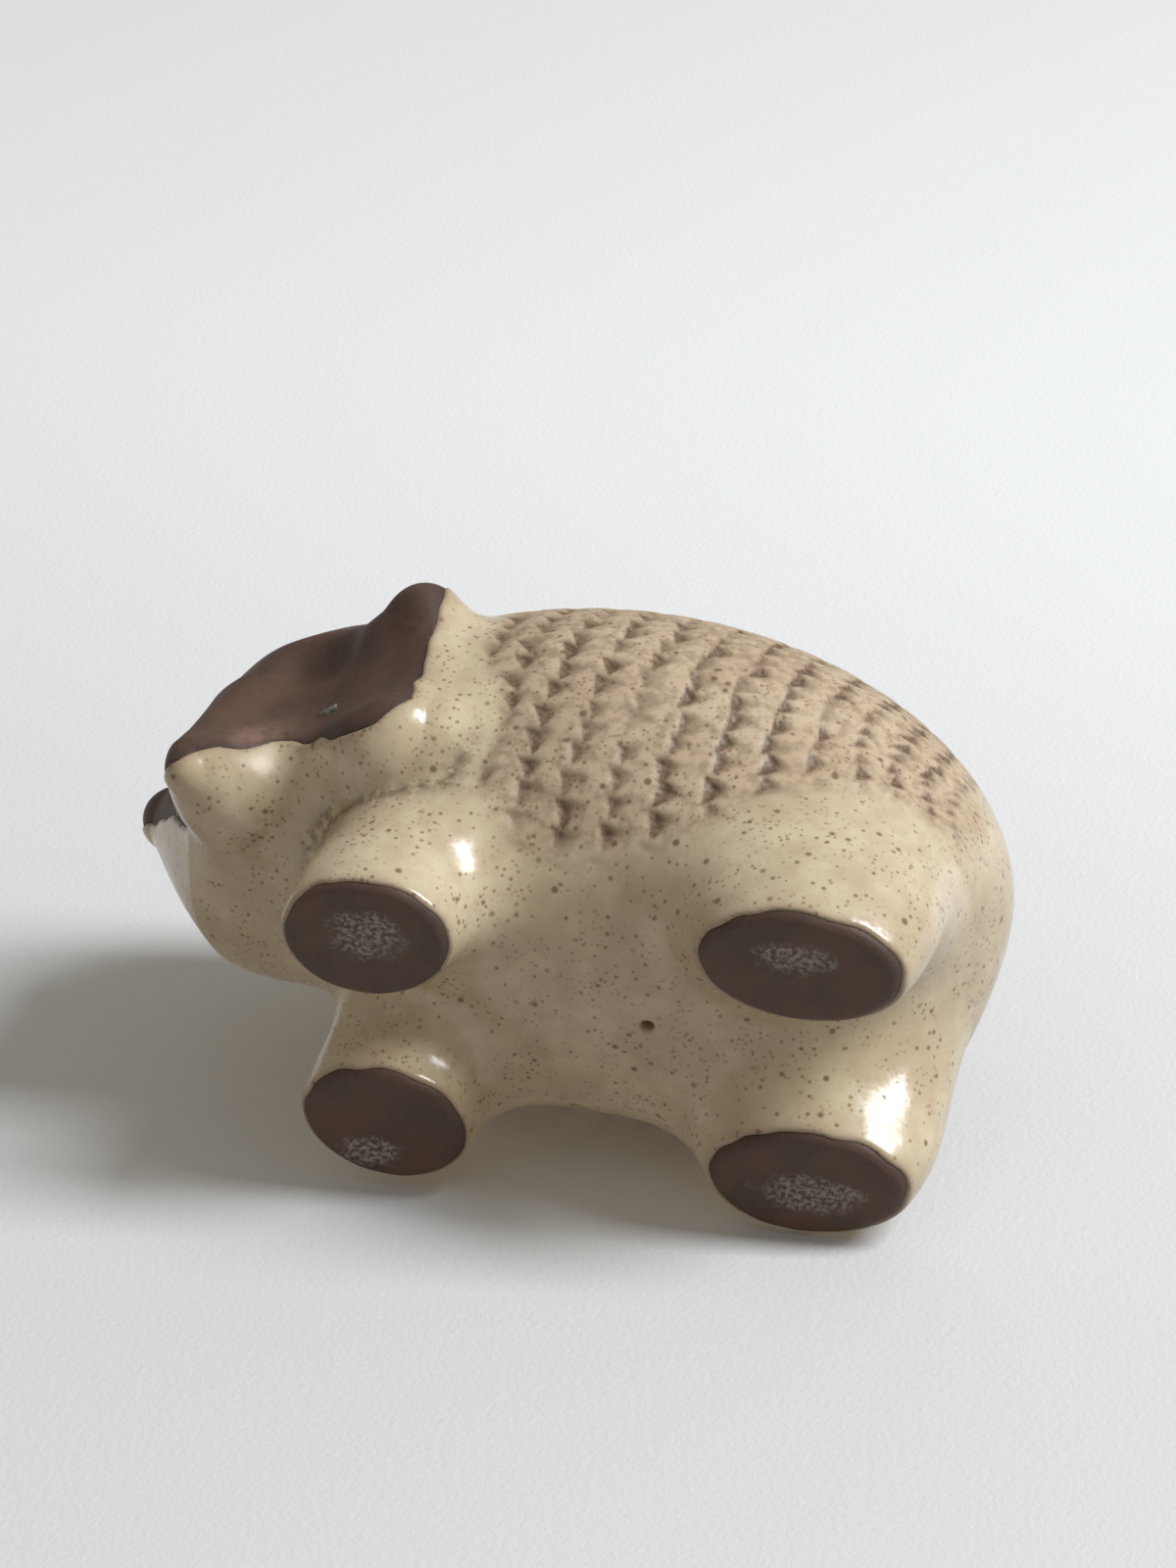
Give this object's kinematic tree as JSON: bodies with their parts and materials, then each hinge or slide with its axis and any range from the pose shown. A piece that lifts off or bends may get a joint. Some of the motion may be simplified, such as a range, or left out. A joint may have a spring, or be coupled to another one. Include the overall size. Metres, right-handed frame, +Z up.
{
  "type": "hedgehog figurine",
  "caption": "Small hollow stoneware hedgehog ornament with cream speckled glaze, impressed spines, a bare dished face turned to its left and flat bare soles to stand on.",
  "frame": {"origin": "bottom centre of the figure's box, on the plane of the four soles", "axes": "+Z up through the back; the figure faces -X, so the rump is at +X; its left side is at -Y"},
  "size_m": [0.1312, 0.0718, 0.0787],
  "materials": {
    "stoneware": "bare fired stoneware, dark chocolate brown, matt and slightly gritty",
    "glaze": "glossy cream glaze with brown iron speckles, browner where it breaks over the spines"
  },
  "bodies": {
    "root": {"body_shell": "stoneware", "head": "stoneware", "front_left_leg": "stoneware", "front_right_leg": "stoneware", "hind_left_leg": "stoneware", "hind_right_leg": "stoneware", "glaze_coat": "glaze", "left_eye": "glaze", "right_eye": "glaze"}
  },
  "joints": []
}
